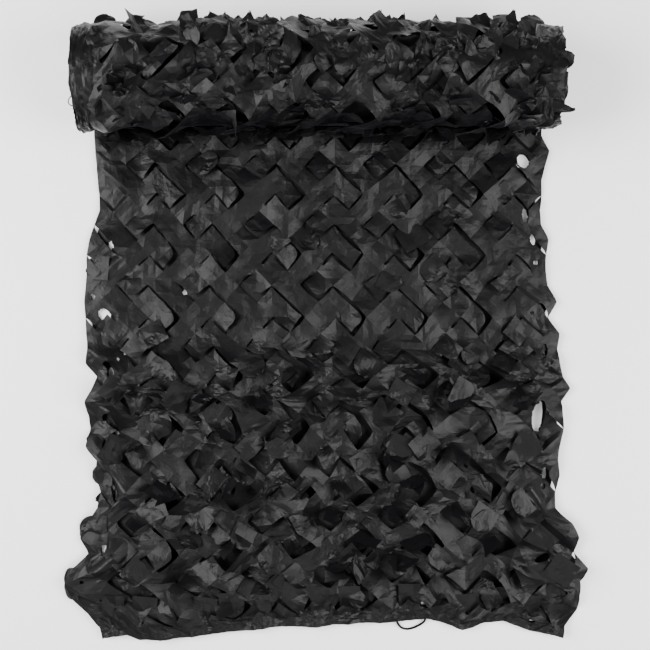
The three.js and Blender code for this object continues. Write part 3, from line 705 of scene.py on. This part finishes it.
def round_roll(radius, angle):
    """y and z of a point on the roll; the angle runs from its bottom, by the back, over the top."""
    return SEAM_Y + radius * np.sin(angle), ROLL_CENTRE - radius * np.cos(angle)


def wound_place(along, across, out):
    """A point of the wound cloth: the winding runs in by one pitch a turn, and out is the height over it.
    Slow lumps come up away from the seam."""
    angle = -2 * np.pi * along / STEPS_AROUND
    radius = ROLL_RADIUS - TURN_PITCH * angle / (2 * np.pi) + out
    left, right = end_of_roll(-1, angle, 0), end_of_roll(1, angle, 0)
    x = left + (right - left) * (across + SIDE_STEP) / (2 * SIDE_STEP)
    lump = np.sin(x / 0.061 + 2.3 * angle) * np.cos(3 * angle - x / 0.097)
    lump = LUMP * (lump + 0.5 * np.sin(x / 0.029 + 5 * angle))
    radius = radius + lump * smoothstep(0.3, 0.9, angle) * smoothstep(0.3, 0.9, 2 * np.pi - angle)
    y, z = round_roll(radius, angle)
    return x, y, np.maximum(0.0008, z)


def roll_skin(faces):
    """The outer turn of the roll, leaf-cut like the loose end."""
    cloth = LeafCloth(-STEPS_AROUND, 0, faces)
    clear = smoothstep(-19.5, -17.5, cloth.s) * smoothstep(0.5, 3.5, -cloth.s)
    lift = at(ROLL_LIFT, chance(cloth.s, cloth.d, 2) ** LIFT_SKEW) * clear
    rounded = np.where(chance(cloth.s, cloth.d, 3) < 0.5, 0.45, 0.12)
    rise, flat_steps, steps = cut_leaves(cloth, lift, rounded, ROLL_SWING)
    wander = ROLL_STRAY * cloth.over_leaf("wander")
    way = cloth.over_leaf("way")
    along = steps[0] - ROLL_OPENING * way[..., 1] + wander[..., 0]
    across = steps[1] + ROLL_OPENING * way[..., 0] + wander[..., 1]
    bumps = ROLL_UNEVEN * (cloth.over_leaf("uneven") - 0.5) + ROLL_STEP_SHARE * cloth.over_leaf("step")
    bumps = bumps + ROLL_CREASE * cloth.creases(52)
    place = wound_place(along, across, rise + clear[:, None, None] * bumps)
    points, flat = settled(cloth, place, flat_steps, 0.12, 0.0008)
    return mesh_object("rolled_net", points, cloth.triangles, flat)


def grid_triangles(count, rows, columns):
    """Triangles of several grids of rows by columns points, one after the other."""
    number = np.arange(count * rows * columns).reshape(count, rows, columns)
    v00, v10 = number[:, :-1, :-1], number[:, 1:, :-1]
    v01, v11 = number[:, :-1, 1:], number[:, 1:, 1:]
    halves = np.stack([v00, v10, v11], -1), np.stack([v00, v11, v01], -1)
    return np.concatenate([half.reshape(-1, 3) for half in halves])


def turn_edges():
    """The edges of the turns at both ends: bands 60 mm wide that follow the winding, close together near
    the outside and two to a turn further in. They are folded, and flare at the edge."""
    layers = np.concatenate([np.arange(0.125, 1.25, 0.125), np.arange(1.5, 8.5, 0.5)])
    around, inwards = np.linspace(0, 2 * np.pi, 145), np.linspace(0, 1, 11) ** 1.2
    turn, angle, inward = np.meshgrid(layers, around, inwards, indexing="ij")
    in_turns = turn + angle / (2 * np.pi)
    round_by = ROLL_RADIUS * angle
    points, triangles = [], []
    for side, flare, uneven in ((-1, 0.011, 0.006), (1, 0.003, 0.009)):
        wave = folds(round_by / 0.045 + 7.3 * turn, 6.5 * inward, 11 + side) * (1 - 0.5 * inward)
        wave = wave + 0.5 * folds(round_by / 0.016 + 3.1 * turn, 9.0 * inward + 0.5, 14 + side)
        radius = ROLL_RADIUS - TURN_PITCH * in_turns + 0.0042 * wave + flare * (1 - inward)
        ragged = uneven * crumpled(round_by + 3.1 * turn, 0.3 * turn, 17 + side)
        x = end_of_roll(side, angle, in_turns) + side * ragged * (1 - inward) - side * 0.06 * inward
        y, z = round_roll(radius, angle)
        points.append(np.stack([x, y, np.maximum(z, 0.002)], -1).reshape(-1, 3))
        triangles.append(grid_triangles(*turn.shape) + len(triangles) * turn.size)
    points = np.concatenate(points)
    return mesh_object("turn_edges", points, np.concatenate(triangles), wrapped(points))


def core():
    """A drum inside the turns, so that no light passes between them."""
    left, right = ROLL_LEFT - 0.02, ROLL_RIGHT - 0.03
    profile = np.array(
        [(left, 0.0), (left, 0.055), (ROLL_LEFT + 0.03, 0.130), (right, 0.130), (right, 0.060), (right, 0.0)]
    )
    angle, place = np.meshgrid(np.linspace(0, 2 * np.pi, 65), np.arange(len(profile)), indexing="ij")
    x = profile[place, 0]
    points = np.stack([x, *round_roll(profile[place, 1], angle)], -1)
    flat = np.column_stack([x.ravel(), angle.ravel()])
    triangles = grid_triangles(1, *angle.shape)[:, ::-1]
    return mesh_object("roll_core", points.reshape(-1, 3), triangles, flat)


FreeLeaf = namedtuple("FreeLeaf", "root up away width length lift tip")
UPWARD = np.array([0.0, 0.0, 1.0])


def leaf_mesh(name, leaves, floor):
    """Free leaves, each a small grid with c from 0 to 1 across it and t from its root.

    The point is root + c across + t away + lift t^1.4 up, with creases and a bow that grow towards the tip. A
    pointed leaf narrows by 0.9 t^1.6, and a round one ends in an ellipse over its outer half."""
    n = 9
    c, t = np.meshgrid(np.linspace(0, 1, n), np.linspace(0, 1, n), indexing="ij")
    narrowing = {
        "square": 1 - 0.06 * t,
        "round": np.sqrt(1 - 0.88 * np.clip(2 * t - 1, 0, 1) ** 2),
        "point": 1 - 0.9 * t**1.6,
    }
    points = []
    for k, leaf in enumerate(leaves):
        beside = np.cross(leaf.up, leaf.away)
        reach = leaf.length * (1.25 if leaf.tip == "point" else 1.0)
        bow = 0.25 * leaf.width * (0.5 - 2 * (c - 0.5) ** 2) * (chance(k, 7, 27) - 0.5)
        creased = 0.008 * folds(1.9 * c + 5.3 * k, 2.1 * t, 6) + 0.0034 * folds(4 * c + 7.1 * k, 4 * t, 9)
        rise = leaf.lift * t**1.4 + bow * t + (0.25 + 0.75 * t) * creased
        points.append(
            leaf.root
            + ((c - 0.5) * narrowing[leaf.tip] * leaf.width)[..., None] * beside
            + (reach * t * (1 - 0.5 * (leaf.lift / reach) ** 2))[..., None] * leaf.away
            + rise[..., None] * leaf.up
        )
    points = np.stack(points).reshape(-1, 3)
    points[:, 2] = np.maximum(points[:, 2], floor)
    triangles = grid_triangles(len(leaves), n, n)[:, ::-1]
    return mesh_object(name, points, triangles, wrapped(points))


def roll_leaf(degrees, across, turn, width, length, lift, tip):
    """A leaf that stands out from the roll, degrees round it from its bottom. With a turn of 0 it points on
    round the roll, with a quarter turn along it."""
    angle = math.radians(degrees)
    up = np.array([0.0, math.sin(angle), -math.cos(angle)])
    down = np.array([0.0, -math.cos(angle), -math.sin(angle)])
    away = math.cos(turn) * down + math.sin(turn) * np.array([1.0, 0.0, 0.0])
    radius = ROLL_RADIUS - TURN_PITCH * angle / (2 * math.pi) - 0.002
    root = np.array([across, SEAM_Y, ROLL_CENTRE]) + radius * up
    return FreeLeaf(root, up, away, width, length, lift, tip)


def roll_leaves():
    """Leaves that stand out from the roll: those of the two tables, and others all over it."""
    leaves = []
    for row in BACK_LEAVES:
        lift = row.reach + 0.006
        leaves.append(roll_leaf(BACK_DEGREES, row.across, 0.0, row.width, 0.058, lift, row.tip))
    for row in END_LEAVES:
        root = ROLL_RIGHT - 0.0255
        length = ROLL_RIGHT + row.reach - root
        leaves.append(roll_leaf(row.degrees, root, 0.5 * math.pi, 0.053, length, 0.006, row.tip))
    for k in range(240):
        degrees = 60 + 235 * chance(k, 1, 21)
        across = ROLL_LEFT + 0.03 + (ROLL_RIGHT - ROLL_LEFT - 0.06) * chance(k, 2, 22)
        turn = 1.5 * (chance(k, 3, 23) - 0.5)
        width = 0.035 + 0.03 * chance(k, 4, 24)
        lift = 0.010 + 0.026 * chance(k, 5, 25)
        tip = TIPS[int(3 * chance(k, 6, 26))]
        leaves.append(roll_leaf(degrees, across, turn, width, 0.052, lift, tip))
    return leaf_mesh("roll_leaves", leaves, 0.001)


def strewn_leaves(cloth, points):
    """Leaves over the cloth, most of them in its lower half. Each starts near the upper point of a leaf and
    lies in its plane, pointing down and to one side."""
    inner = (cloth.s > 2) & (cloth.s < STEPS_ALONG - 2) & (np.abs(cloth.d) < SIDE_STEP - 1)
    wanted = np.where(cloth.s > LOWER_FROM, 0.42, 0.06) * inner
    n = cloth.faces
    for k in np.nonzero(chance(cloth.s, cloth.d, 61) < wanted)[0]:
        grid = points[cloth.index[k]]
        root, below, beside = grid[n // 6, n // 6], grid[n - 2, n - 2], grid[n - 2, 2]
        up = np.cross(below - root, beside - root)
        up = up / np.linalg.norm(up)
        width = 0.056 + 0.028 * chance(k, 4, 64)
        length = 0.056 + 0.030 * chance(k, 5, 65)
        lift = 0.003 + 0.010 * chance(k, 7, 67)
        tip = TIPS[int(1.45 * chance(k, 6, 66))]
        lean = math.copysign(0.78, chance(k, 2, 62) - 0.5) + 0.7 * (chance(k, 3, 63) - 0.5)
        away = np.array([math.sin(lean), -math.cos(lean), 0.0])
        away = away - up * (away @ up)
        away = away / np.linalg.norm(away)
        yield FreeLeaf(root + 0.002 * up, up, away, width, length, lift, tip)


def rim_leaves():
    """The leaves of the rim table, which slope down to their tips."""
    for row in RIM_LEAVES:
        turn = math.radians(row.degrees)
        away = np.array([math.cos(turn), math.sin(turn), 0.0])
        root = np.array([row.across, row.along, 0.026])
        yield FreeLeaf(root, UPWARD, away, row.width, row.length, -0.014, row.tip)


def hem_leaves():
    """The row of leaves along the hem, which slope down to their tips at its line."""
    for k, x in enumerate(np.arange(HEM_LEAF_FIRST, -HEM_LEAF_FIRST, HEM_LEAF_PITCH)):
        lean = 0.36 * (chance(k, 1, 71) - 0.5)
        away = np.array([math.sin(lean), -math.cos(lean), 0.0])
        tip_y = HEM_LINE_Y + np.interp(x, HEM_ACROSS, HEM_RISE) + 0.014 * (chance(k, 2, 72) - 0.25)
        width = 0.062 + 0.014 * chance(k, 3, 73)
        length = 0.068 + 0.022 * chance(k, 4, 74)
        root = np.array([x, tip_y, 0.034]) - length * away
        tip = TIPS[int(1.5 * chance(k, 5, 75))]
        yield FreeLeaf(root, UPWARD, away, width, length, -0.020, tip)


def laid_leaves(cloth, points):
    """All the leaves that lie free on the loose end."""
    leaves = [*strewn_leaves(cloth, points), *rim_leaves(), *hem_leaves()]
    return leaf_mesh("laid_leaves", leaves, 0.004)


def cord(name, route, diameter, material):
    """A round cord along a Catmull-Rom line through the points of its route. Returns it and its length."""
    p = np.array([route[0], *route, route[-1]])
    t = np.linspace(0, 1, CORD_STEPS + 1)[:-1, None]
    line = []
    for k in range(1, len(p) - 2):
        a, b, c, d = p[k - 1 : k + 3]
        square, cube = 2 * a - 5 * b + 4 * c - d, 3 * b - a - 3 * c + d
        line.append(0.5 * (2 * b + (c - a) * t + square * t**2 + cube * t**3))
    line = np.concatenate([*line, p[-1:]])
    curve = bpy.data.curves.new(name, "CURVE")
    curve.dimensions = "3D"
    curve.bevel_depth = diameter / 2
    curve.bevel_resolution = 3
    curve.use_fill_caps = True
    spline = curve.splines.new("POLY")
    spline.points.add(len(line) - 1)
    spline.points.foreach_set("co", np.column_stack([line, np.ones(len(line))]).ravel())
    curve.materials.append(material)
    return added(name, curve), float(np.linalg.norm(np.diff(line, axis=0), axis=1).sum())


def new_node(tree, kind, place, **inputs):
    """A node at a place of the tree, with the values of its inputs; an underscore in a name is a space."""
    node = tree.nodes.new(kind)
    node.location = place
    for name, value in inputs.items():
        node.inputs[name.replace("_", " ")].default_value = value
    return node


def connect(tree, *links):
    """Link two nodes for each row: the first and its output, the second and its input."""
    for source, output, target, entry in links:
        tree.links.new(source.outputs[output], target.inputs[entry])


def crumple_group():
    """Height of the cloth's fine creases and weave, and its wear, from its flat place in metres. The creases
    are fine noise, plus 0.6 of a larger one, plus the slow noise that is also the wear."""
    tree = bpy.data.node_groups.new("cloth_relief", "ShaderNodeTree")
    tree.interface.new_socket("Cloth", in_out="INPUT", socket_type="NodeSocketVector")
    for name in ("Creases", "Weave", "Wear"):
        tree.interface.new_socket(name, in_out="OUTPUT", socket_type="NodeSocketFloat")
    start = new_node(tree, "NodeGroupInput", (-800, 0))
    end = new_node(tree, "NodeGroupOutput", (800, 0))
    big = new_node(tree, "ShaderNodeTexNoise", (-500, 300), Scale=45.0, Detail=3.0, Distortion=1.5)
    warp = new_node(tree, "ShaderNodeTexNoise", (-500, 0), Scale=22.0, Detail=4.0)
    fine = new_node(tree, "ShaderNodeTexNoise", (-500, -300), Scale=85.0, Detail=1.5, Distortion=1.2)
    wave = new_node(tree, "ShaderNodeTexWave", (-500, -600), Scale=700.0)
    coarse = new_node(tree, "ShaderNodeMath", (0, 200))
    coarse.operation = "MULTIPLY_ADD"
    coarse.inputs[1].default_value = 0.6
    total = new_node(tree, "ShaderNodeMath", (200, 100))
    total.operation = "ADD"
    connect(
        tree,
        *((start, "Cloth", node, "Vector") for node in (big, warp, fine, wave)),
        (big, "Fac", coarse, 0),
        (warp, "Fac", coarse, 2),
        (fine, "Fac", total, 0),
        (coarse, 0, total, 1),
        (total, 0, end, "Creases"),
        (wave, "Fac", end, "Weave"),
        (warp, "Fac", end, "Wear"),
    )
    return tree


def cloth_material():
    """Thin coated cloth, nearly black with a low shine, creased and faintly woven. It is made only once."""
    material = bpy.data.materials.get("net_cloth")
    if material:
        return material
    material = bpy.data.materials.new("net_cloth")
    material.use_nodes = True
    tree = material.node_tree
    tree.nodes.clear()
    out = new_node(tree, "ShaderNodeOutputMaterial", (900, 0))
    skin = new_node(
        tree,
        "ShaderNodeBsdfPrincipled",
        (600, 0),
        Roughness=0.42,
        Specular_IOR_Level=0.175,
        Sheen_Weight=0.02,
        Sheen_Roughness=0.45,
        Sheen_Tint=(0.75, 0.74, 0.85, 1.0),
    )
    uv = new_node(tree, "ShaderNodeUVMap", (-600, 0))
    uv.uv_map = "cloth"
    relief = new_node(tree, "ShaderNodeGroup", (-300, 0))
    relief.node_tree = crumple_group()
    tint = new_node(tree, "ShaderNodeMix", (200, 200))
    tint.data_type = "RGBA"
    # A mix node's colour sockets share their names with others, so they go by their places.
    tint.inputs[6].default_value = (0.0014, 0.0014, 0.0017, 1.0)
    tint.inputs[7].default_value = (0.0026, 0.0026, 0.0031, 1.0)
    creases = new_node(tree, "ShaderNodeBump", (200, -100), Strength=0.55, Distance=0.0015)
    weave = new_node(tree, "ShaderNodeBump", (400, -200), Strength=0.15, Distance=0.0003)
    connect(
        tree,
        (uv, "UV", relief, "Cloth"),
        (relief, "Wear", tint, 0),
        (relief, "Creases", creases, "Height"),
        (relief, "Weave", weave, "Height"),
        (creases, "Normal", weave, "Normal"),
        (tint, 2, skin, "Base Color"),
        (weave, "Normal", skin, "Normal"),
        (skin, "BSDF", out, "Surface"),
    )
    return material


def plain_material(name, color, roughness, specular):
    """A material of one colour."""
    material = bpy.data.materials.get(name) or bpy.data.materials.new(name)
    material.use_nodes = True
    skin = material.node_tree.nodes["Principled BSDF"]
    skin.inputs["Base Color"].default_value = (*color, 1.0)
    skin.inputs["Roughness"].default_value = roughness
    skin.inputs["Specular IOR Level"].default_value = specular
    return material


class NetSettings(bpy.types.PropertyGroup):
    """Sizes of the net and of the camera's view"""

    faces: bpy.props.IntProperty(
        name="Faces per leaf", description="Faces along a leaf's side", default=12, min=2, max=16
    )
    camera_height: bpy.props.FloatProperty(
        name="Camera height", description="Height of the camera over the floor", default=2.8, unit="LENGTH"
    )
    field: bpy.props.FloatProperty(
        name="Field", description="Width of the floor that the camera sees", default=1.95, unit="LENGTH"
    )
    cord_diameter: bpy.props.FloatProperty(
        name="Hem cord", description="Diameter of the tie cord at the hem", default=0.0065, unit="LENGTH"
    )
    thin_diameter: bpy.props.FloatProperty(
        name="Roll cord", description="Diameter of the tie cord at the roll", default=0.003, unit="LENGTH"
    )


SENSOR_WIDTH = 36.0
CAMERA_OVER = (-0.0045, 0.028)
FLOOR_CORNERS = ((-9, -9, 0), (9, -9, 0), (9, 9, 0), (-9, 9, 0))
WORLD_STRENGTH = 0.18
LAMPS = table(
    "name place aim size power",
    ("left_light", (-2.8, 0.3, 2.6), (0, 0, 0), 2.6, 360.0),
    ("right_light", (2.9, -0.3, 2.6), (0, 0, 0), 2.6, 300.0),
    ("top_light", (0.2, 2.9, 3.0), (0, 0.2, 0), 1.8, 14.0),
    ("front_light", (-0.2, -2.9, 2.8), (0, -0.2, 0), 1.8, 60.0),
)


class NET_OT_stage(bpy.types.Operator):
    """Add the camera, the floor and the lights"""

    bl_idname = "net.stage"
    bl_label = "Stage"

    def execute(self, context):
        settings = context.scene.camouflage_net
        data = bpy.data.cameras.new("camera")
        data.sensor_width = SENSOR_WIDTH
        data.lens = SENSOR_WIDTH / 2 / (0.5 * settings.field / settings.camera_height)
        camera = added("camera", data)
        camera.location = (*CAMERA_OVER, settings.camera_height)
        context.scene.camera = camera
        floor = bpy.data.meshes.new("floor")
        floor.from_pydata(FLOOR_CORNERS, [], [(0, 1, 2, 3)])
        floor.materials.append(plain_material("floor", (0.92, 0.92, 0.93), 0.7, 0.5))
        staged = [added("floor", floor)]
        for row in LAMPS:
            light = bpy.data.lights.new(row.name, "AREA")
            light.energy = row.power
            light.size = row.size
            lamp = added(row.name, light)
            lamp.location = row.place
            lamp.rotation_euler = (Vector(row.aim) - Vector(row.place)).to_track_quat("-Z", "Y").to_euler()
            staged.append(lamp)
        world = bpy.data.worlds.new("studio")
        world.use_nodes = True
        background = world.node_tree.nodes["Background"].inputs
        background["Color"].default_value = (1.0, 1.0, 1.0, 1.0)
        background["Strength"].default_value = WORLD_STRENGTH
        context.scene.world = world
        return {"FINISHED"}


class NET_OT_cords(bpy.types.Operator):
    """Add the two tie cords"""

    bl_idname = "net.cords"
    bl_label = "Tie cords"

    def execute(self, context):
        settings = context.scene.camouflage_net
        material = plain_material("net_cord", (0.002, 0.002, 0.0023), 0.8, 0.1)
        for name, node, route, diameter in (
            ("hem_tie", "hem_tie_cord", HEM_TIE, settings.cord_diameter),
            ("end_tie", "roll_tie_cord", END_TIE, settings.thin_diameter),
        ):
            obj, length = cord(name, route, diameter, material)
            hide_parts(node)
            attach(obj, "root")
        return {"FINISHED"}


class NET_OT_loose_end(bpy.types.Operator):
    """Lay the loose end of the net on the floor"""

    bl_idname = "net.loose_end"
    bl_label = "Loose end"

    def execute(self, context):
        faces = context.scene.camouflage_net.faces
        upper, leaves = loose_end(faces)
        lower = lower_layer(faces)
        for obj in (upper, leaves, lower):
            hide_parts("net_sheet")
            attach(obj, "root")
        return {"FINISHED"}


class NET_OT_roll(bpy.types.Operator):
    """Wind the rest of the net into its roll"""

    bl_idname = "net.roll"
    bl_label = "Roll"

    def execute(self, context):
        faces = context.scene.camouflage_net.faces
        for obj in (roll_skin(faces), turn_edges(), core(), roll_leaves()):
            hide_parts("net_roll")
            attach(obj, "root")
        return {"FINISHED"}


OPERATORS = (NET_OT_stage, NET_OT_cords, NET_OT_loose_end, NET_OT_roll)


class NET_PT_panel(bpy.types.Panel):
    """Settings and steps of the camouflage net"""

    bl_label = "Camouflage net"
    bl_idname = "NET_PT_panel"
    bl_space_type = "VIEW_3D"
    bl_region_type = "UI"
    bl_category = "Net"

    def draw(self, context):
        settings = context.scene.camouflage_net
        for name in ("faces", "camera_height", "field", "cord_diameter", "thin_diameter"):
            self.layout.prop(settings, name)
        for operator in OPERATORS:
            self.layout.operator(operator.bl_idname)


CLASSES = (NetSettings, *OPERATORS, NET_PT_panel)


def register():
    for cls in CLASSES:
        bpy.utils.register_class(cls)
    bpy.types.Scene.camouflage_net = bpy.props.PointerProperty(type=NetSettings)


def unregister():
    del bpy.types.Scene.camouflage_net
    for cls in reversed(CLASSES):
        bpy.utils.unregister_class(cls)


def main():
    register()
    for step in (bpy.ops.net.stage, bpy.ops.net.cords, bpy.ops.net.loose_end, bpy.ops.net.roll):
        if step() != {"FINISHED"}:
            raise RuntimeError("a step of the net did not finish")
    bpy.context.view_layer.update()


if __name__ == "__main__":
    main()
